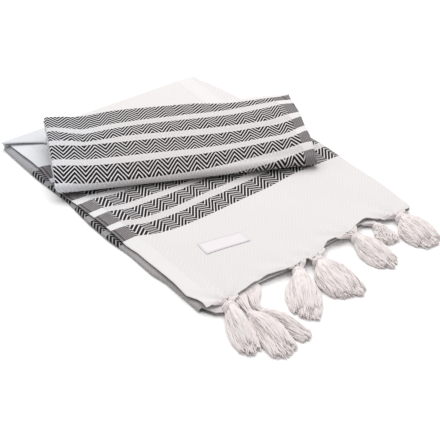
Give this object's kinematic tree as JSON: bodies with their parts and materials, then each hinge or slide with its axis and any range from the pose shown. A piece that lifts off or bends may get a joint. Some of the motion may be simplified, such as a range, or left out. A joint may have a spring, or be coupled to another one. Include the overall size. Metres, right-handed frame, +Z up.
{
  "type": "folded hammam towel",
  "caption": "Flat-woven cotton hammam towel with knotted fringe, folded in three, its striped end lying on top as a thick bundle turned askew.",
  "frame": {"origin": "middle of the towel's bounding box, on the surface it lies on", "axes": "+Y from the fringe to the back fold, +X to the right as seen from the fringe, +Z up"},
  "size_m": [0.3674, 0.607, 0.0501],
  "materials": {
    "cotton_cloth": "flat-woven white cotton with black zigzag stripes",
    "cotton_yarn": "plied white cotton yarn",
    "satin_label": "bare white woven satin"
  },
  "bodies": {
    "root": {"towel_cloth": "cotton_cloth", "label": "satin_label", "tassel_far": "cotton_yarn", "tassel_second": "cotton_yarn", "tassel_round": "cotton_yarn", "tassel_side": "cotton_yarn", "tassel_near": "cotton_yarn", "tassel_low_far": "cotton_yarn", "tassel_low_middle": "cotton_yarn", "tassel_low_near": "cotton_yarn"}
  },
  "joints": []
}
